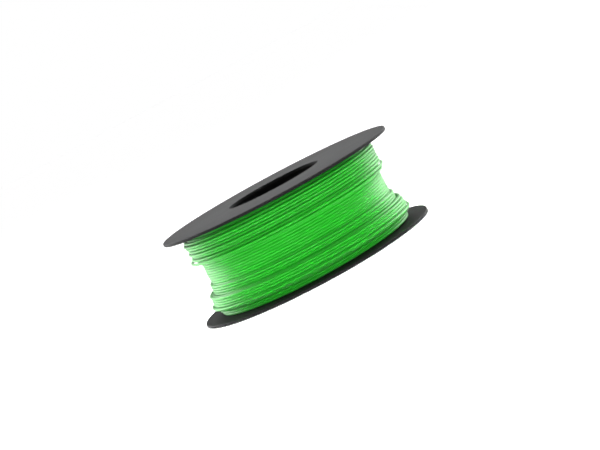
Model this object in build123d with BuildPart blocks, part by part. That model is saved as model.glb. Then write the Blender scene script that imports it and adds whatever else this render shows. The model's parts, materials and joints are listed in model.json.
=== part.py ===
"""Wire spool: two flat flanges, a barrel and a bore sleeve, wound full of thin green wire.

The spool's axis is +Z. The origin is the centre of the lower flange's outer face, so the spool stands on it.
All sizes are in millimetres.
"""

import os
from math import pi, radians, tan

from build123d import *

os.makedirs("parts", exist_ok=True)

# Spool: driving dimensions
FLANGE_DIAMETER = 100.0
FLANGE_THICKNESS = 1.2
TRAVERSE = 35.3  # clear width between the two flanges
BORE_DIAMETER = 40.0
BARREL_DIAMETER = 69.0
TUBE_WALL = 1.6  # wall of the barrel and of the bore sleeve
RIM_ROUNDING = 0.2
BORE_ROUNDING = 0.2
SLIP_FIT = 0.1  # radial clearance between parts pushed together

# Flange: the rings, ribs and snap hooks on its inner face
RING_WALL = 1.2
RING_HEIGHT = 4.0
RING_LEAD_IN = 0.3
RIB_COUNT = 8
RIB_THICKNESS = 1.0
RIB_HEIGHT = 2.5
HOOK_COUNT = 4
HOOK_ARC = 10.0  # degrees of the circle that one hook takes up
HOOK_HEIGHT = 6.2
HOOK_REACH = 1.2  # how far the barb stands out from its arm
HOOK_RELIEF = 7.6  # width of the gap in the outer ring that leaves a hook free to bend
BARB_HEIGHT = 2.0
BARB_LAND = 0.5
START_NOTCH = 9.0  # width of the gap in the outer ring that lets the wire's inner end through

# Barrel: windows that the hooks snap into, and the slot for the wire's inner end
WINDOW_PLAY = 0.3
START_ANGLE = 45.0
START_SLOT_WIDTH = 6.0
START_SLOT_HEIGHT = 2.2
START_SLOT_SHIFT = 0.6

# Wire: stranded hook-up wire
WIRE_DIAMETER = 1.15
STRAND_DIAMETER = 0.16
STRAND_SPACING = 0.172
STRAND_STICK_OUT = 2.5
TAIL_ANGLE = 100.0
BEND_SHARE = 0.45  # share of the shorter run that a bend may take up

# Worked-out sizes
SPOOL_WIDTH = TRAVERSE + 2 * FLANGE_THICKNESS
UPPER_FACE = SPOOL_WIDTH - FLANGE_THICKNESS
FLANGE_RADIUS = FLANGE_DIAMETER / 2
BORE_RADIUS = BORE_DIAMETER / 2
BARREL_RADIUS = BARREL_DIAMETER / 2
BARREL_INNER = BARREL_RADIUS - TUBE_WALL
SLEEVE_OUTER = BORE_RADIUS + TUBE_WALL
OUTER_RING = BARREL_INNER - SLIP_FIT
INNER_RING = SLEEVE_OUTER + SLIP_FIT
RING_TOP = FLANGE_THICKNESS + RING_HEIGHT
RIB_INNER = INNER_RING + RING_WALL / 2
RIB_OUTER = OUTER_RING - RING_WALL / 2
HOOK_ARM = OUTER_RING - RING_WALL
HOOK_TOP = FLANGE_THICKNESS + HOOK_HEIGHT
BARB_FOOT = HOOK_TOP - BARB_HEIGHT
BARB_TIP = OUTER_RING - SLIP_FIT + HOOK_REACH
WINDOW_BOTTOM = BARB_FOOT - SLIP_FIT
WINDOW_HEIGHT = BARB_HEIGHT + WINDOW_PLAY
WINDOW_WIDTH = BARREL_RADIUS * HOOK_ARC * pi / 180 + 2 * WINDOW_PLAY

# Outline of the full winding, as height above the lower flange's outer face and radius:
# it bulges at both flanges, more at the lower one, and has a waist between them
WINDING_FOOT = (42.2, FLANGE_THICKNESS)
WINDING_HEAD = (41.8, UPPER_FACE)
LOWER_BULGE = (43.7, 7.2)
LOWER_SLOPE = (41.3, 13.0)
WAIST = (40.1, 18.8)
UPPER_SLOPE = (41.5, 23.8)
UPPER_BULGE = (42.5, 28.6)


def on_circle(angle: float, side: float, radius: float, height: float) -> tuple[float, float, float]:
    """A point given by its place beside, out from and above the axis, for a view along one radius.

    Args:
        angle: Direction of the radius, in degrees from +X.
        side: Distance to the left of that radius, seen from above.
        radius: Distance along the radius.
        height: Height above the lower flange's outer face.

    Returns:
        The point in the spool's own frame.
    """
    point = Vector(radius, side, height).rotate(Axis.Z, angle)
    return (point.X, point.Y, point.Z)


def bend_radii(route: list[tuple[float, float, float]]) -> list[float]:
    """The bend radius at each corner of a wire's route: as large as its two runs allow.

    Args:
        route: The route's points.

    Returns:
        One radius for each point between the first and the last.
    """
    points = [Vector(*point) for point in route]
    radii = []
    for before, corner, after in zip(points, points[1:], points[2:]):
        arriving = corner - before
        leaving = after - corner
        half_turn = radians(arriving.get_angle(leaving)) / 2
        shorter_run = min(arriving.length, leaving.length)
        radii.append(BEND_SHARE * shorter_run / tan(half_turn))
    return radii


def finish(piece: BuildPart, name: str) -> None:
    """Label a finished piece and write it to its own file.

    Args:
        piece: The finished builder.
        name: The piece's name.
    """
    piece.part.label = name
    export_step(piece.part, f"parts/{name}.step")


# One flange, as both are moulded: a thin disc with two rings, ribs and snap hooks on its inner face.
# The inner ring holds the bore sleeve's end and the outer ring fills the barrel's end.
with BuildPart() as snap_hook:
    with BuildSketch(Plane.XZ):
        with BuildLine():
            Polyline(
                (HOOK_ARM, FLANGE_THICKNESS / 2),
                (OUTER_RING - SLIP_FIT, FLANGE_THICKNESS / 2),
                (OUTER_RING - SLIP_FIT, BARB_FOOT),
                (BARB_TIP, BARB_FOOT),
                (BARB_TIP, BARB_FOOT + BARB_LAND),
                (OUTER_RING - SLIP_FIT, HOOK_TOP),
                (HOOK_ARM, HOOK_TOP),
                close=True,
            )
        make_face()
    revolve(axis=Axis.Z, revolution_arc=HOOK_ARC)

with BuildPart() as flange_blank:
    with BuildSketch():
        Circle(FLANGE_RADIUS)
        Circle(BORE_RADIUS, mode=Mode.SUBTRACT)
    extrude(amount=FLANGE_THICKNESS)
    bore_edges = edges().filter_by(GeomType.CIRCLE).group_by(SortBy.RADIUS)[0]
    fillet(bore_edges.sort_by(Axis.Z)[0], radius=BORE_ROUNDING)
    rim_edges = edges().filter_by(GeomType.CIRCLE).group_by(SortBy.RADIUS)[-1]
    fillet(rim_edges, radius=RIM_ROUNDING)
    with BuildSketch(Plane.XY.offset(FLANGE_THICKNESS)):
        Circle(OUTER_RING)
        Circle(OUTER_RING - RING_WALL, mode=Mode.SUBTRACT)
        with PolarLocations(OUTER_RING - RING_WALL / 2, HOOK_COUNT):
            Rectangle(3 * RING_WALL, HOOK_RELIEF, mode=Mode.SUBTRACT)
        with PolarLocations(OUTER_RING - RING_WALL / 2, 1, start_angle=START_ANGLE):
            Rectangle(3 * RING_WALL, START_NOTCH, mode=Mode.SUBTRACT)
        Circle(INNER_RING + RING_WALL)
        Circle(INNER_RING, mode=Mode.SUBTRACT)
    extrude(amount=RING_HEIGHT)
    ring_edges = edges().filter_by(GeomType.CIRCLE).group_by(Axis.Z)[-1]
    chamfer(ring_edges.group_by(SortBy.RADIUS)[-1], length=RING_LEAD_IN)
    with BuildSketch(Plane.XY.offset(FLANGE_THICKNESS)):
        with PolarLocations((RIB_INNER + RIB_OUTER) / 2, RIB_COUNT, start_angle=180 / RIB_COUNT):
            Rectangle(RIB_OUTER - RIB_INNER, RIB_THICKNESS)
    extrude(amount=RIB_HEIGHT)
    with PolarLocations(0, HOOK_COUNT, start_angle=-HOOK_ARC / 2):
        add(snap_hook.part)

with BuildPart() as flange_lower:
    add(flange_blank.part)
finish(flange_lower, "flange_lower")

with BuildPart() as flange_upper:
    mirror(flange_blank.part, about=Plane.XY.offset(SPOOL_WIDTH / 2))
finish(flange_upper, "flange_upper")

# Bore sleeve: lines the bore between the flanges, so a rod runs on one smooth wall from face to face
with BuildPart() as bore_sleeve:
    with BuildSketch(Plane.XY.offset(FLANGE_THICKNESS)):
        Circle(SLEEVE_OUTER)
        Circle(BORE_RADIUS, mode=Mode.SUBTRACT)
    extrude(amount=TRAVERSE)
finish(bore_sleeve, "bore_sleeve")

# Barrel: the tube that the wire is wound on, with windows for the hooks and the slot for the wire's inner end
with BuildPart() as barrel_tube:
    with BuildSketch(Plane.XY.offset(FLANGE_THICKNESS)):
        Circle(BARREL_RADIUS)
        Circle(BARREL_INNER, mode=Mode.SUBTRACT)
    extrude(amount=TRAVERSE)
    for bottom in (WINDOW_BOTTOM, SPOOL_WIDTH - WINDOW_BOTTOM - WINDOW_HEIGHT):
        with BuildSketch(Plane.XY.offset(bottom)):
            with PolarLocations(BARREL_RADIUS - TUBE_WALL / 2, HOOK_COUNT):
                Rectangle(2 * TUBE_WALL, WINDOW_WIDTH)
        extrude(amount=WINDOW_HEIGHT, mode=Mode.SUBTRACT)
    with BuildSketch(Plane.XY.offset(FLANGE_THICKNESS).rotated((0, 0, START_ANGLE))):
        with Locations((BARREL_RADIUS - TUBE_WALL / 2, START_SLOT_SHIFT)):
            Rectangle(2 * TUBE_WALL, START_SLOT_WIDTH)
    extrude(amount=START_SLOT_HEIGHT, mode=Mode.SUBTRACT)
finish(barrel_tube, "barrel_tube")

# Winding: the outer shape of all the turns of wire, from the barrel out
with BuildPart() as wire_winding:
    with BuildSketch(Plane.XZ):
        with BuildLine():
            Spline(WINDING_FOOT, LOWER_BULGE, LOWER_SLOPE, WAIST, UPPER_SLOPE, UPPER_BULGE, WINDING_HEAD)
            Polyline(
                WINDING_HEAD,
                (BARREL_RADIUS, UPPER_FACE),
                (BARREL_RADIUS, FLANGE_THICKNESS),
                WINDING_FOOT,
            )
        make_face()
    revolve(axis=Axis.Z)
finish(wire_winding, "wire_winding")


def wire_tube(route: list[tuple[float, float, float]]) -> Part:
    """A plain tube of the wire's own diameter along a route, with the largest bends that fit.

    Args:
        route: The route's points, from end to end.

    Returns:
        The tube.
    """
    radii = bend_radii(route)
    print("bend radii:", [round(radius, 1) for radius in radii])
    with BuildPart() as tube:
        with BuildLine() as path:
            FilletPolyline(*route, radius=radii)
        with BuildSketch(Plane(origin=path.line @ 0, z_dir=path.line % 0)):
            Circle(WIRE_DIAMETER / 2)
        sweep(path=path.line)
    whole_path = path.wires()[0]
    section = pi * WIRE_DIAMETER**2 / 4
    print("tube volume:", round(tube.part.volume, 2), "against", round(section * whole_path.length, 2))
    return tube.part


def bare_strands(end: tuple[float, float, float], inside: tuple[float, float, float]) -> BuildPart:
    """The copper strands that stick out of a cut end: one in the middle and six round it.

    Args:
        end: Centre of the wire's cut end.
        inside: The point of the wire's route before that end.

    Returns:
        The builder that holds the seven strands, as separate solids.
    """
    outward = Vector(*end) - Vector(*inside)
    with BuildPart() as strands:
        with BuildSketch(Plane(origin=end, z_dir=outward)):
            Circle(STRAND_DIAMETER / 2)
            with PolarLocations(STRAND_SPACING, 6):
                Circle(STRAND_DIAMETER / 2)
        extrude(amount=STRAND_STICK_OUT)
    return strands


# The wire's inner end: it comes off the first turn, dips through the barrel's slot and stands up in the hollow
START_ROUTE = [
    on_circle(START_ANGLE, -3.0, 28.0, 17.5),
    on_circle(START_ANGLE, -3.4, 27.4, 11.5),
    on_circle(START_ANGLE, -3.2, 28.3, 5.8),
    on_circle(START_ANGLE, -1.6, 32.0, 2.4),
    on_circle(START_ANGLE, 2.6, 34.95, 1.8),
]
start_tube = wire_tube(START_ROUTE)
with BuildPart() as wire_start_lead:
    add(start_tube)
    with BuildSketch(Plane.XY):
        Circle(FLANGE_RADIUS)
        Circle(BARREL_RADIUS, mode=Mode.SUBTRACT)
    extrude(amount=SPOOL_WIDTH, mode=Mode.SUBTRACT)
finish(wire_start_lead, "wire_start_lead")

finish(bare_strands(START_ROUTE[0], START_ROUTE[1]), "start_strands")

# The wire's outer end: it lifts a little off the last turn, below the upper flange
TAIL_ROUTE = [
    on_circle(TAIL_ANGLE, -6.5, 41.2, 34.4),
    on_circle(TAIL_ANGLE, 0.0, 42.3, 34.3),
    on_circle(TAIL_ANGLE, 6.5, 42.6, 34.2),
    on_circle(TAIL_ANGLE, 13.0, 41.9, 34.0),
]
tail_tube = wire_tube(TAIL_ROUTE)
with BuildPart() as wire_tail:
    add(tail_tube)
    add(wire_winding.part, mode=Mode.SUBTRACT)
finish(wire_tail, "wire_tail")

finish(bare_strands(TAIL_ROUTE[-1], TAIL_ROUTE[-2]), "tail_strands")
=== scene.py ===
"""Wire spool: the looks of a small flat-flanged spool wound full of thin green hook-up wire.

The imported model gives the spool's plastic parts and their places. This script lays the wire turn by turn, as a
winding machine does, dresses every piece, and sets up a plain pale studio.
"""

import json
import logging
from dataclasses import dataclass, field
from enum import Enum
from math import cos, pi, radians, sin

import bpy
import numpy as np
from mathutils import Matrix, Vector


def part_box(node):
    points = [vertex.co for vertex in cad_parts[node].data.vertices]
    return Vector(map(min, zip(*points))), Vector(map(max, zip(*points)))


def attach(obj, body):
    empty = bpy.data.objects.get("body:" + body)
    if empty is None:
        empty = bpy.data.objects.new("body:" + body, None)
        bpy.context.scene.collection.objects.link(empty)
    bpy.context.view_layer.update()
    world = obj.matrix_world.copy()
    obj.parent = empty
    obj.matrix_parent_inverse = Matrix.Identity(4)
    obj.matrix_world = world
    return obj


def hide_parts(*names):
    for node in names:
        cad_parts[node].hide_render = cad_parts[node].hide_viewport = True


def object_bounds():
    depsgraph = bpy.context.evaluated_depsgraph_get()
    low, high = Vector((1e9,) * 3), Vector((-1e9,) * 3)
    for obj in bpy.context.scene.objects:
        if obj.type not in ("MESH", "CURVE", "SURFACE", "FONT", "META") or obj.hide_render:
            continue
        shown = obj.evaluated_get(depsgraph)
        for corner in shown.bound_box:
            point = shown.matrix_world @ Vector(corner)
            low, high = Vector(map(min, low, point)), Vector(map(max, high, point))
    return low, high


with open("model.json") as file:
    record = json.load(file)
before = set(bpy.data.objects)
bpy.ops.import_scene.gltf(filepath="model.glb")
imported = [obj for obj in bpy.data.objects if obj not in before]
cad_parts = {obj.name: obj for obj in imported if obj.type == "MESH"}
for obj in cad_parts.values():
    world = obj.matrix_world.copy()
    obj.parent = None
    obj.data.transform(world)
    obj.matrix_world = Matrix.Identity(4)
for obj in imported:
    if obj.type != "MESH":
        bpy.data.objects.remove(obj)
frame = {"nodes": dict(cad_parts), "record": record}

log = logging.getLogger("wire_spool")

CAD_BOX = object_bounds()
MM = 0.001
ROD_BORE = next(mount for mount in frame["record"]["mounts"] if mount["name"] == "rod_bore")
BORE_RADIUS = ROD_BORE["dims"]["r_mm"] * MM
Point = tuple[float, float, float]


def on_circle(angle: float, side: float, radius: float, height: float) -> Vector:
    """A point given by its place beside, out from and above the axis, for a view along one radius.

    Args:
        angle: Direction of the radius, in degrees from +X.
        side: Distance to the left of that radius, seen from above, in millimetres.
        radius: Distance along the radius, in millimetres.
        height: Height above the lower flange's outer face, in millimetres.

    Returns:
        The point in metres.
    """
    turned = Matrix.Rotation(radians(angle), 3, "Z") @ Vector((radius, side, height))
    return turned * MM


# ---------------------------------------------------------------------------------------------------------- finishes


class NodeTree:
    """A thin helper that adds nodes to a tree and joins them."""

    def __init__(self, tree: bpy.types.NodeTree) -> None:
        """Keep the tree.

        Args:
            tree: The tree to add to.
        """
        self.tree = tree

    def add(self, kind: str, **values: object) -> bpy.types.Node:
        """Add one node and set its properties and unlinked inputs.

        Args:
            kind: The node's type name.
            values: Property names and values; an input's name has its spaces written as underscores.

        Returns:
            The new node.
        """
        node = self.tree.nodes.new(kind)
        for name, value in values.items():
            if name[0].islower():
                setattr(node, name, value)
            else:
                node.inputs[name.replace("_", " ")].default_value = value
        return node

    def join(self, source: bpy.types.NodeSocket, target: bpy.types.NodeSocket) -> None:
        """Join an output to an input.

        Args:
            source: The output.
            target: The input.
        """
        self.tree.links.new(source, target)


def new_material(name: str) -> tuple[bpy.types.Material, NodeTree, bpy.types.Node]:
    """Make a material that holds one Principled shader.

    Args:
        name: The material's name.

    Returns:
        The material, its tree and its shader.
    """
    material = bpy.data.materials.new(name)
    material.use_nodes = True
    tree = NodeTree(material.node_tree)
    return material, tree, material.node_tree.nodes["Principled BSDF"]


@dataclass(frozen=True)
class MouldedPlastic:
    """Satin black styrene with a fine moulded grain and light handling scuffs.

    The wall of the bore gets painted shade: a darker colour than the rest, so that the hole reads as black like a
    shadowed hole.
    """

    name: str = "black_plastic_finish"
    color: Point = (0.009, 0.009, 0.0092)
    scuff_color: Point = (0.014, 0.014, 0.0145)
    roughness: tuple[float, float] = (0.55, 0.65)
    specular: float = 0.07
    grain_scale: float = 5200.0
    scuff_scale: float = 90.0
    grain_depth: float = 0.00002
    grain_strength: float = 0.4
    # Near-black colour painted on the bore's wall as shade.
    bore_shade_color: Point = (0.002, 0.002, 0.002)
    bore_shade_margin: float = 0.0001

    def build(self) -> bpy.types.Material:
        """Make the material.

        Returns:
            The new material.
        """
        material, tree, shader = new_material(self.name)
        place = tree.add("ShaderNodeTexCoord")
        scuffs = tree.add("ShaderNodeTexNoise", Scale=self.scuff_scale, Detail=6.0, Roughness=0.65)
        grain = tree.add("ShaderNodeTexNoise", Scale=self.grain_scale, Detail=2.0)
        for texture in (scuffs, grain):
            tree.join(place.outputs["Object"], texture.inputs["Vector"])
        tint = tree.add("ShaderNodeMix", data_type="RGBA")
        tint.inputs[6].default_value = (*self.color, 1.0)
        tint.inputs[7].default_value = (*self.scuff_color, 1.0)
        tree.join(scuffs.outputs["Fac"], tint.inputs[0])
        bore = self.bore_shade_mask(tree, place)
        # Painted shade: the bore's wall is mixed to the near-black bore colour, standing in for the shadow inside
        # the hole.
        shade = tree.add("ShaderNodeMix", data_type="RGBA")
        shade.inputs[7].default_value = (*self.bore_shade_color, 1.0)
        tree.join(bore.outputs["Value"], shade.inputs[0])
        tree.join(tint.outputs[2], shade.inputs[6])
        tree.join(shade.outputs[2], shader.inputs["Base Color"])
        dullness = tree.add("ShaderNodeMapRange", To_Min=self.roughness[0], To_Max=self.roughness[1])
        tree.join(scuffs.outputs["Fac"], dullness.inputs["Value"])
        tree.join(dullness.outputs["Result"], shader.inputs["Roughness"])
        bump = tree.add("ShaderNodeBump", Strength=self.grain_strength, Distance=self.grain_depth)
        tree.join(grain.outputs["Fac"], bump.inputs["Height"])
        tree.join(bump.outputs["Normal"], shader.inputs["Normal"])
        shader.inputs["Specular IOR Level"].default_value = self.specular
        return material

    def bore_shade_mask(self, tree: NodeTree, place: bpy.types.Node) -> bpy.types.Node:
        """Pick out the wall of the bore, where shade is painted, which is everything within its radius and a small
        margin.

        Args:
            tree: The material's tree.
            place: The node that gives the place on the object.

        Returns:
            A node that is 1 on the bore's wall, where the painted shade goes, and 0 elsewhere.
        """
        flat = tree.add("ShaderNodeVectorMath", operation="MULTIPLY")
        flat.inputs[1].default_value = (1.0, 1.0, 0.0)
        radius = tree.add("ShaderNodeVectorMath", operation="LENGTH")
        inside = tree.add("ShaderNodeMath", operation="LESS_THAN")
        inside.inputs[1].default_value = BORE_RADIUS + self.bore_shade_margin
        tree.join(place.outputs["Object"], flat.inputs[0])
        tree.join(flat.outputs["Vector"], radius.inputs[0])
        tree.join(radius.outputs["Value"], inside.inputs[0])
        return inside


@dataclass(frozen=True)
class WireInsulation:
    """Bright green soft plastic insulation, smooth from the extruder."""

    name: str = "green_insulation_finish"
    color: Point = (0.005, 0.325, 0.005)
    pale_color: Point = (0.008, 0.38, 0.008)
    roughness: tuple[float, float] = (0.32, 0.44)
    specular: float = 0.3
    sheen: float = 0.38
    sheen_roughness: float = 0.18
    tint_scale: float = 160.0
    ripple_scale: float = 1400.0
    ripple_depth: float = 0.00002
    ripple_strength: float = 0.15

    def build(self) -> bpy.types.Material:
        """Make the material.

        Returns:
            The new material.
        """
        material, tree, shader = new_material(self.name)
        place = tree.add("ShaderNodeTexCoord")
        clouds = tree.add("ShaderNodeTexNoise", Scale=self.tint_scale, Detail=3.0)
        ripple = tree.add("ShaderNodeTexNoise", Scale=self.ripple_scale, Detail=2.0)
        for texture in (clouds, ripple):
            tree.join(place.outputs["Object"], texture.inputs["Vector"])
        tint = tree.add("ShaderNodeMix", data_type="RGBA")
        tint.inputs[6].default_value = (*self.color, 1.0)
        tint.inputs[7].default_value = (*self.pale_color, 1.0)
        tree.join(clouds.outputs["Fac"], tint.inputs[0])
        tree.join(tint.outputs[2], shader.inputs["Base Color"])
        dullness = tree.add("ShaderNodeMapRange", To_Min=self.roughness[0], To_Max=self.roughness[1])
        tree.join(ripple.outputs["Fac"], dullness.inputs["Value"])
        tree.join(dullness.outputs["Result"], shader.inputs["Roughness"])
        bump = tree.add("ShaderNodeBump", Strength=self.ripple_strength, Distance=self.ripple_depth)
        tree.join(ripple.outputs["Fac"], bump.inputs["Height"])
        tree.join(bump.outputs["Normal"], shader.inputs["Normal"])
        shader.inputs["Specular IOR Level"].default_value = self.specular
        shader.inputs["Sheen Weight"].default_value = self.sheen
        shader.inputs["Sheen Roughness"].default_value = self.sheen_roughness
        return material


@dataclass(frozen=True)
class BareCopper:
    """Bright drawn copper, with a slight dulling along the strands."""

    name: str = "copper_finish"
    color: Point = (0.86, 0.42, 0.24)
    dull_color: Point = (0.62, 0.27, 0.15)
    roughness: tuple[float, float] = (0.2, 0.38)
    dulling_scale: float = 2600.0

    def build(self) -> bpy.types.Material:
        """Make the material.

        Returns:
            The new material.
        """
        material, tree, shader = new_material(self.name)
        place = tree.add("ShaderNodeTexCoord")
        dulling = tree.add("ShaderNodeTexNoise", Scale=self.dulling_scale, Detail=3.0)
        tree.join(place.outputs["Object"], dulling.inputs["Vector"])
        tint = tree.add("ShaderNodeMix", data_type="RGBA")
        tint.inputs[6].default_value = (*self.color, 1.0)
        tint.inputs[7].default_value = (*self.dull_color, 1.0)
        tree.join(dulling.outputs["Fac"], tint.inputs[0])
        tree.join(tint.outputs[2], shader.inputs["Base Color"])
        dullness = tree.add("ShaderNodeMapRange", To_Min=self.roughness[0], To_Max=self.roughness[1])
        tree.join(dulling.outputs["Fac"], dullness.inputs["Value"])
        tree.join(dullness.outputs["Result"], shader.inputs["Roughness"])
        shader.inputs["Metallic"].default_value = 1.0
        return material


@dataclass(frozen=True)
class PaleFloor:
    """Pale matt studio floor."""

    name: str = "floor_finish"
    color: Point = (0.94, 0.94, 0.94)
    glow: float = 0.35
    roughness: float = 0.9
    specular: float = 0.1

    def build(self) -> bpy.types.Material:
        """Make the material.

        Returns:
            The new material.
        """
        material, _, shader = new_material(self.name)
        shader.inputs["Base Color"].default_value = (*self.color, 1.0)
        shader.inputs["Roughness"].default_value = self.roughness
        shader.inputs["Specular IOR Level"].default_value = self.specular
        shader.inputs["Emission Color"].default_value = (1.0, 1.0, 1.0, 1.0)
        shader.inputs["Emission Strength"].default_value = self.glow
        return material


# ------------------------------------------------------------------------------------------------------ round stock


@dataclass(frozen=True)
class RoundStock:
    """Geometry Nodes tree that draws round wire of one radius along every spline it is given."""

    name: str
    radius: float
    sides: int
    material: bpy.types.Material

    def tree(self) -> bpy.types.NodeTree:
        """Build the tree, with its radius and its number of sides as named inputs.

        Returns:
            The new tree.
        """
        group = bpy.data.node_groups.new(self.name, "GeometryNodeTree")
        face = group.interface
        face.new_socket("Route", in_out="INPUT", socket_type="NodeSocketGeometry")
        face.new_socket("Radius", in_out="INPUT", socket_type="NodeSocketFloat")
        face.new_socket("Sides", in_out="INPUT", socket_type="NodeSocketInt")
        face.new_socket("Wire", in_out="OUTPUT", socket_type="NodeSocketGeometry")
        tree = NodeTree(group)
        given = tree.add("NodeGroupInput")
        made = tree.add("NodeGroupOutput")
        circle = tree.add("GeometryNodeCurvePrimitiveCircle")
        sweep = tree.add("GeometryNodeCurveToMesh", Fill_Caps=True)
        smooth = tree.add("GeometryNodeSetShadeSmooth")
        plain = tree.add("GeometryNodeRealizeInstances")
        dress = tree.add("GeometryNodeSetMaterial", Material=self.material)
        tree.join(given.outputs["Radius"], circle.inputs["Radius"])
        tree.join(given.outputs["Sides"], circle.inputs["Resolution"])
        tree.join(given.outputs["Route"], sweep.inputs["Curve"])
        tree.join(circle.outputs["Curve"], sweep.inputs["Profile Curve"])
        tree.join(sweep.outputs["Mesh"], smooth.inputs["Geometry"])
        tree.join(smooth.outputs["Geometry"], plain.inputs["Geometry"])
        tree.join(plain.outputs["Geometry"], dress.inputs["Geometry"])
        tree.join(dress.outputs["Geometry"], made.inputs["Wire"])
        return group

    def draw(self, piece_name: str, routes: list[list[Vector]]) -> bpy.types.Object:
        """Draw the stock along some routes and turn the result into one plain mesh object.

        Args:
            piece_name: The new object's name.
            routes: The points of each route.

        Returns:
            The new object, at the origin.
        """
        guide = bpy.data.objects.new(piece_name + "_guide", poly_curve(piece_name + "_guide", routes))
        bpy.context.scene.collection.objects.link(guide)
        modifier = guide.modifiers.new("stock", "NODES")
        modifier.node_group = self.tree()
        sockets = {
            item.name: item.identifier
            for item in modifier.node_group.interface.items_tree
            if item.item_type == "SOCKET" and item.in_out == "INPUT"
        }
        modifier[sockets["Radius"]] = self.radius
        modifier[sockets["Sides"]] = self.sides
        evaluated = guide.evaluated_get(bpy.context.evaluated_depsgraph_get())
        mesh = bpy.data.meshes.new_from_object(evaluated)
        mesh.name = piece_name
        piece = bpy.data.objects.new(piece_name, mesh)
        bpy.context.scene.collection.objects.link(piece)
        bpy.data.objects.remove(guide)
        return piece


def poly_curve(name: str, routes: list[list[Vector]]) -> bpy.types.Curve:
    """Make a curve of straight-run splines.

    Args:
        name: The curve's name.
        routes: The points of each spline.

    Returns:
        The new curve.
    """
    curve = bpy.data.curves.new(name, "CURVE")
    curve.dimensions = "3D"
    for route in routes:
        spline = curve.splines.new("POLY")
        spline.points.add(len(route) - 1)
        spline.points.foreach_set("co", [value for point in route for value in (*point, 1.0)])
    return curve


def smooth_line(name: str, route: list[Vector], steps: int) -> list[Vector]:
    """Read the points of the smooth NURBS line that a route's points control.

    Args:
        name: Name for the line while it is being read.
        route: The route's control points.
        steps: How many points to read for each control point.

    Returns:
        The points along the line, from end to end.
    """
    curve = bpy.data.curves.new(name, "CURVE")
    curve.dimensions = "3D"
    spline = curve.splines.new("NURBS")
    spline.points.add(len(route) - 1)
    spline.points.foreach_set("co", [value for point in route for value in (*point, 1.0)])
    spline.order_u = 3
    spline.use_endpoint_u = True
    spline.resolution_u = steps
    line = bpy.data.objects.new(name, curve)
    bpy.context.scene.collection.objects.link(line)
    mesh = bpy.data.meshes.new_from_object(line.evaluated_get(bpy.context.evaluated_depsgraph_get()))
    points = [vertex.co.copy() for vertex in mesh.vertices]
    bpy.data.objects.remove(line)
    bpy.data.curves.remove(curve)
    bpy.data.meshes.remove(mesh)
    return points


# ---------------------------------------------------------------------------------------------------------- winding


class SweepStart(Enum):
    """When the wire guide sets off on a sweep."""

    AT_ONCE = "at once"
    BEHIND = "when the wire is at the spool's far side"


@dataclass(frozen=True)
class GuidePass:
    """One sweep of the winder's wire guide along the barrel.

    Attributes:
        end: Height where the sweep ends, in millimetres.
        pitch: How far the guide moves for each turn of the spool, in millimetres.
        slack: How far a loose turn may stand off what lies under it, in millimetres.
        wander: How far the wire may stray along the barrel, in millimetres.
        start: When the guide sets off.
    """

    end: float
    pitch: float
    slack: float = 0.0
    wander: float = 0.0
    start: SweepStart = SweepStart.AT_ONCE


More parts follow.
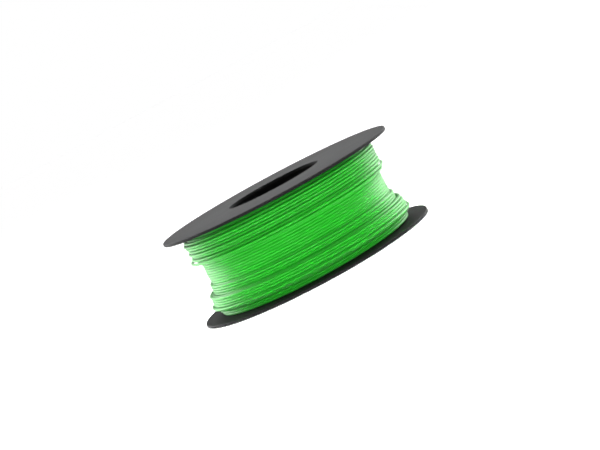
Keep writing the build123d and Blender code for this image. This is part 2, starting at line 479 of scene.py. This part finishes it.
@dataclass
class WireWinding:
    """The wire, laid on the barrel turn by turn; each turn rests on whatever already lies under it.

    Lengths are in millimetres and angles in degrees from +X.

    Attributes:
        finish: The insulation's material.
        wire_diameter: Diameter over the insulation.
        barrel_radius: Radius of the barrel that the wire is wound on.
        steps_per_turn: Control points for each turn.
        full_passes: How many sweeps run from flange to flange before the short ones.
        pitch: How far the guide moves for each turn of a full sweep.
        full_slack: How far a turn of a full sweep may stand off what lies under it.
        flange_gap: Room left between the wire and a flange.
        climb: How steeply the wire falls, and begins to rise, from one step to the next.
        look_ahead: How many steps ahead the wire begins to rise over what is in its way.
        nestle: Share of the wire's radius, to each side, within which it rests on what lies below.
        height_step: Fineness of the surface that the turns are laid on.
        first_angle: Where the first turn begins.
        behind_angle: Where the guide sets off on a sweep that starts at the far side.
        tail_angle: Where the wire's outer end lies.
        crossing_turn: Share of a turn in which the guide crosses from one bulge to the other.
        waist_top, waist_bottom: Heights that the first steep crossing of the waist runs between.
        bulge_top, bulge_low, bulge_end: Heights where the sweeps that build up the lower bulge end.
        upper_start, last_height: Heights that the last sweep runs between, after a second steep crossing.
        last_turns: How many turns the last sweep takes.
        stray_rates: Waves per turn of the wire's straying along the barrel.
        slack_rates: Waves per turn of the loose turns' slack.
        seed: Seed of the waves' phases.
        sides: Sides of the round stock.
        line_steps: Points read along the smooth line for each control point.
        hidden_turns: How many of the first turns are covered by later ones and are drawn with fewer points.
        start_route: The wire's inner end, down inside the barrel and out through its slot.
    """

    finish: bpy.types.Material
    wire_diameter: float = 1.15
    barrel_radius: float = 34.5
    steps_per_turn: int = 24
    full_passes: int = 5
    pitch: float = 1.06
    full_slack: float = 0.08
    flange_gap: float = 0.02
    climb: float = 0.08
    look_ahead: int = 5
    nestle: float = 0.78
    height_step: float = 0.05
    first_angle: float = 64.25
    behind_angle: float = 10.0
    tail_angle: float = 100.0
    crossing_turn: float = 0.45
    waist_top: float = 23.9
    waist_bottom: float = 13.8
    bulge_top: float = 10.2
    bulge_low: float = 4.6
    bulge_end: float = 5.6
    upper_start: float = 25.0
    last_height: float = 34.4
    last_turns: float = 7.78
    stray_rates: Point = (0.37, 1.13, 0.71)
    slack_rates: Point = (0.43, 1.0, 0.83)
    seed: int = 193
    sides: int = 10
    line_steps: int = 2
    hidden_turns: int = 96
    start_route: list[Vector] = field(default_factory=lambda: [
        on_circle(45.0, -3.0, 28.0, 17.5),
        on_circle(45.0, -3.4, 27.4, 11.5),
        on_circle(45.0, -3.2, 28.3, 5.8),
        on_circle(45.0, -1.6, 32.0, 2.4),
        on_circle(45.0, 2.6, 34.95, 1.8),
    ])

    def __post_init__(self) -> None:
        """Read the clear width between the flanges from the frame."""
        low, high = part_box("wire_winding")
        wire_radius = self.wire_diameter / 2
        self.floor = low[2] / MM
        self.ceiling = high[2] / MM
        self.lowest = self.floor + wire_radius + self.flange_gap
        self.highest = self.ceiling - wire_radius - self.flange_gap

    def passes(self) -> list[GuidePass]:
        """List the guide's sweeps: full ones first, then short ones that build up both ends.

        Returns:
            The sweeps, in order.
        """
        sweeps = [
            GuidePass((self.lowest, self.highest)[number % 2 == 0], self.pitch, self.full_slack)
            for number in range(self.full_passes)
        ]
        down_pitch = (self.waist_top - self.waist_bottom) / self.crossing_turn
        up_pitch = (self.upper_start - self.bulge_end) / self.crossing_turn
        last_pitch = (self.last_height - self.upper_start) / self.last_turns
        sweeps += [
            GuidePass(self.waist_top, pitch=1.12, wander=0.03),
            GuidePass(self.waist_bottom, pitch=down_pitch, start=SweepStart.BEHIND),
            GuidePass(self.lowest, pitch=1.09, wander=0.04),
            GuidePass(self.bulge_top, pitch=1.12, wander=0.06),
            GuidePass(self.bulge_low, pitch=1.08, slack=0.06, wander=0.05),
            GuidePass(self.bulge_end, pitch=1.37, slack=0.25, wander=0.12),
            GuidePass(self.upper_start, pitch=up_pitch, start=SweepStart.BEHIND),
            GuidePass(self.last_height, pitch=last_pitch, slack=0.4, wander=0.1),
        ]
        return sweeps

    def guide_heights(self) -> tuple[np.ndarray, np.ndarray]:
        """Work out where the guide holds the wire at each step, and how slack it is there.

        Returns:
            The heights and the slacks, in millimetres.
        """
        heights, slacks, wanders = [], [], []
        height = self.start_route[-1].z / MM
        steps = 0
        for sweep in self.passes():
            count = round(abs(sweep.end - height) / sweep.pitch * self.steps_per_turn)
            if sweep.start is SweepStart.BEHIND:
                behind = (self.behind_angle - self.first_angle) / 360.0 * self.steps_per_turn
                wait = round(behind - steps) % self.steps_per_turn
                heights.append(np.full(wait, height))
                slacks.append(np.zeros(wait))
                wanders.append(np.zeros(wait))
                steps += wait
            heights.append(np.linspace(height, sweep.end, count, endpoint=False))
            slacks.append(np.full(count, sweep.slack))
            wanders.append(np.full(count, sweep.wander))
            height = sweep.end
            steps += count
        turns = np.arange(steps) / self.steps_per_turn
        rng = np.random.default_rng(self.seed)
        strayed = np.concatenate(heights) + np.concatenate(wanders) * waves(rng, turns, self.stray_rates)
        slack = np.concatenate(slacks) * np.maximum(0.0, waves(rng, turns, self.slack_rates))
        return np.clip(strayed, self.lowest, self.highest), slack

    def lay(self, heights: np.ndarray, slacks: np.ndarray) -> np.ndarray:
        """Lay the wire on the barrel, one step at a time.

        Args:
            heights: Height of the wire at each step.
            slacks: How far it stands off at each step.

        Returns:
            The wire's distance from the axis at each step, in millimetres.
        """
        wire_radius = self.wire_diameter / 2
        rows = int((self.ceiling - self.floor) / self.height_step)
        reach = int(wire_radius / self.height_step)
        trim = reach - int(self.nestle * wire_radius / self.height_step)
        offsets = np.arange(-reach, reach + 1) * self.height_step
        crown = np.sqrt(np.maximum(wire_radius**2 - offsets**2, 0.0))
        surface = np.full((self.steps_per_turn, rows), self.barrel_radius)
        centres = np.clip(((heights - self.floor) / self.height_step).astype(int), reach, rows - reach - 1)
        count = len(heights)

        def under(step: int, short: int = 0) -> np.ndarray:
            """Look up the surface below the wire, cut short by some rows at both sides.

            Args:
                step: The step.
                short: How many rows to leave out at each side.

            Returns:
                The surface's distances from the axis, as a view that can be written to.
            """
            row = centres[step]
            return surface[step % self.steps_per_turn, row - reach + short : row + reach + 1 - short]

        laid = np.empty(count)
        before = self.barrel_radius + wire_radius
        for step in range(count):
            ahead = range(step, min(step + self.look_ahead, count))
            needed = max(
                (under(near, trim) + crown[trim:-trim]).max() + slacks[near] - (near - step) * self.climb
                for near in ahead
            )
            before = max(needed, before - self.climb)
            laid[step] = before
            np.maximum(under(step), before + crown, out=under(step))
        return laid

    def control_points(self) -> list[Vector]:
        """Work out the whole wire's control points, from its inner end to its outer end.

        Returns:
            The points, in metres.
        """
        heights, slacks = self.guide_heights()
        distances = self.lay(heights, slacks)
        # A quadratic NURBS line runs inside its control points. Halfway between two of them it is at their distance
        # from the axis times the cosine of half a step. Beside one it takes these shares of it and its neighbours.
        own_share = 0.75
        side_share = 0.25
        step_angle = 2 * pi / self.steps_per_turn
        inside = (cos(step_angle / 2) + own_share + side_share * cos(step_angle)) / 2
        turns = [
            on_circle(self.first_angle + 360.0 * step / self.steps_per_turn, 0.0, distance / inside, height)
            for step, (distance, height) in enumerate(zip(distances, heights))
        ]
        log.info("last turn: distance %.2f, height %.2f, angle %.1f", distances[-1], heights[-1],
                 (self.first_angle + 360.0 * (len(heights) - 1) / self.steps_per_turn) % 360)
        return self.start_route + turns + self.tail_route()

    def tail_route(self) -> list[Vector]:
        """Continue the last turn into the wire's outer end.

        Returns:
            The outer end's points.
        """
        return [
            on_circle(self.tail_angle, -6.5, 41.2, 34.4),
            on_circle(self.tail_angle, 0.0, 42.3, 34.3),
            on_circle(self.tail_angle, 6.5, 42.6, 34.2),
            on_circle(self.tail_angle, 13.0, 41.9, 34.0),
        ]

    def build(self) -> bpy.types.Object:
        """Make the wire as one round tube along its whole length.

        Returns:
            The wire.
        """
        line = smooth_line("wire_line", self.control_points(), self.line_steps)
        hidden = self.hidden_turns * self.steps_per_turn * self.line_steps
        route = line[:hidden:self.line_steps] + line[hidden:]
        stock = RoundStock("wire_stock", self.wire_diameter / 2 * MM, self.sides, self.finish)
        wire = stock.draw("green_wire", [route])
        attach(wire, "root")
        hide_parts("wire_winding", "wire_start_lead", "wire_tail")
        return wire


def waves(rng: np.random.Generator, turns: np.ndarray, rates: tuple[float, ...]) -> np.ndarray:
    """Add up slow waves with random phases.

    Args:
        rng: The source of the phases.
        turns: The turn at each step.
        rates: Waves per turn.

    Returns:
        The sum at each step, scaled so that it keeps much the same height for any number of waves.
    """
    phases = rng.uniform(0.0, 2 * pi, len(rates))
    total = sum(np.sin(2 * pi * rate * turns + phase) for rate, phase in zip(rates, phases))
    return total / np.sqrt(len(rates))


# ----------------------------------------------------------------------------------------------------------- studio


@dataclass
class Studio:
    """Pale floor, soft light and the camera.

    Attributes:
        spool_centre: The middle of the spool, in metres.
        elevation: How far the camera looks down, in degrees.
        distance: The camera's distance from the spool's centre, in metres.
        roll: How far the camera is turned about its own line of sight, in degrees.
        lens: Focal length, in millimetres.
        sensor_width: Width of the camera's sensor, in millimetres.
        near_limit: Nearest distance that the camera sees, in metres.
        framing: How far the camera is moved aside and up, in metres.
        floor_radius: Radius of the floor, in metres.
        floor_corners: Corners of the floor's round edge.
        dome: Brightness of the room straight above and below, beside 1 at its sides.
        fade_range: Steepness, from level 0 to upright 1, over which the room's brightness fades to that.
        filter_width: Width of the picture's smoothing filter.
        beam: Opening of the light from above, in degrees.
    """

    spool_centre: Vector
    elevation: float = 6.2
    distance: float = 0.74
    roll: float = 28.16
    lens: float = 111.0
    sensor_width: float = 36.0
    near_limit: float = 0.01
    framing: tuple[float, float] = (0.0019, 0.0004)
    floor_radius: float = 6.0
    floor_corners: int = 96
    dome: float = 0.4
    fade_range: tuple[float, float] = (0.45, 0.9)
    filter_width: float = 1.8
    beam: float = 10.0

    def camera(self) -> bpy.types.Object:
        """Add the camera, turned so that the spool leans to the left.

        Returns:
            The camera.
        """
        data = bpy.data.cameras.new("camera")
        data.lens = self.lens
        data.sensor_width = self.sensor_width
        data.clip_start = self.near_limit
        camera = bpy.data.objects.new("camera", data)
        bpy.context.scene.collection.objects.link(camera)
        tilt = Matrix.Rotation(radians(90.0 - self.elevation), 4, "X")
        turn = tilt @ Matrix.Rotation(radians(-self.roll), 4, "Z")
        aside = turn.to_3x3() @ Vector((self.framing[0], self.framing[1], self.distance))
        camera.matrix_world = Matrix.Translation(self.spool_centre + aside) @ turn
        bpy.context.scene.camera = camera
        return camera

    def floor(self) -> bpy.types.Object:
        """Add the floor that the spool stands on.

        Returns:
            The floor.
        """
        count = self.floor_corners
        corners = [
            (self.floor_radius * cos(2 * pi * k / count), self.floor_radius * sin(2 * pi * k / count), 0.0)
            for k in range(count)
        ]
        mesh = bpy.data.meshes.new("floor")
        mesh.from_pydata(corners, [], [list(range(count))])
        mesh.materials.append(PaleFloor().build())
        floor = bpy.data.objects.new("floor", mesh)
        bpy.context.scene.collection.objects.link(floor)
        return floor

    def soft_light(
        self, name: str, place: Point, size: tuple[float, float], power: float
    ) -> bpy.types.AreaLight:
        """Add one soft box that faces the spool.

        Args:
            name: The light's name.
            place: Where it hangs, in metres from the spool's centre.
            size: Its width and height, in metres.
            power: Its power, in watts.

        Returns:
            The light's data.
        """
        data = bpy.data.lights.new(name, "AREA")
        data.shape = "RECTANGLE"
        data.size, data.size_y = size
        data.energy = power
        light = bpy.data.objects.new(name, data)
        bpy.context.scene.collection.objects.link(light)
        light.location = self.spool_centre + Vector(place)
        light.rotation_euler = (-Vector(place)).to_track_quat("-Z", "Y").to_euler()
        return data

    def light(self) -> None:
        """Light the spool from both sides, from the front and from above, in a white room."""
        scene = bpy.context.scene
        world = bpy.data.worlds.new("white_room")
        world.use_nodes = True
        tree = NodeTree(world.node_tree)
        direction = tree.add("ShaderNodeTexCoord")
        split = tree.add("ShaderNodeSeparateXYZ")
        climb = tree.add("ShaderNodeMath", operation="ABSOLUTE")
        fade = tree.add("ShaderNodeMapRange", interpolation_type="SMOOTHSTEP")
        fade.inputs["From Min"].default_value = self.fade_range[0]
        fade.inputs["From Max"].default_value = self.fade_range[1]
        fade.inputs["To Min"].default_value = 1.0
        fade.inputs["To Max"].default_value = self.dome
        tree.join(direction.outputs["Generated"], split.inputs["Vector"])
        tree.join(split.outputs["Z"], climb.inputs[0])
        tree.join(climb.outputs["Value"], fade.inputs["Value"])
        tree.join(fade.outputs["Result"], world.node_tree.nodes["Background"].inputs["Color"])
        scene.world = world
        scene.view_settings.view_transform = "Standard"
        scene.cycles.filter_width = self.filter_width
        for name, side in (("left_box", -1.0), ("right_box", 1.0)):
            self.soft_light(name, place=(side * 0.78, 0.62, 0.22), size=(0.7, 1.2), power=18.0)
        self.soft_light("front_box", place=(0.0, -0.9, 0.1), size=(0.9, 0.5), power=1.6)
        top = self.soft_light("top_box", place=(0.0, 0.03, 0.9), size=(0.12, 0.12), power=0.22)
        top.spread = radians(self.beam)


def dress_node(node: str, material: bpy.types.Material) -> None:
    """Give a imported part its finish.

    Args:
        node: The part's node name.
        material: The finish.
    """
    target = frame["nodes"][node]
    target.data.materials.clear()
    target.data.materials.append(material)
    log.info("%s: dressed", node)


def main() -> None:
    """Build every piece in order."""
    logging.basicConfig(level=logging.INFO, format="%(name)s: %(message)s")
    low, high = CAD_BOX
    centre = (Vector(low) + Vector(high)) / 2
    studio = Studio(centre)
    studio.camera()
    WireWinding(WireInsulation().build()).build()
    plastic = MouldedPlastic().build()
    for node in ("flange_lower", "flange_upper", "barrel_tube"):
        dress_node(node, plastic)
    # Painted shade: the sleeve inside the bore is dressed near-black and dead matt, far darker than the flanges'
    # plastic, to stand in for the shadow inside the hole.
    sleeve_shade_finish = MouldedPlastic(
        name="sleeve_shade_finish",
        color=(0.002, 0.002, 0.002),
        scuff_color=(0.003, 0.003, 0.003),
        roughness=(0.8, 0.9),
        specular=0.0,
    )
    dress_node("bore_sleeve", sleeve_shade_finish.build())
    copper = BareCopper().build()
    for node in ("start_strands", "tail_strands"):
        dress_node(node, copper)
    studio.floor()
    studio.light()


if __name__ == "__main__":
    main()
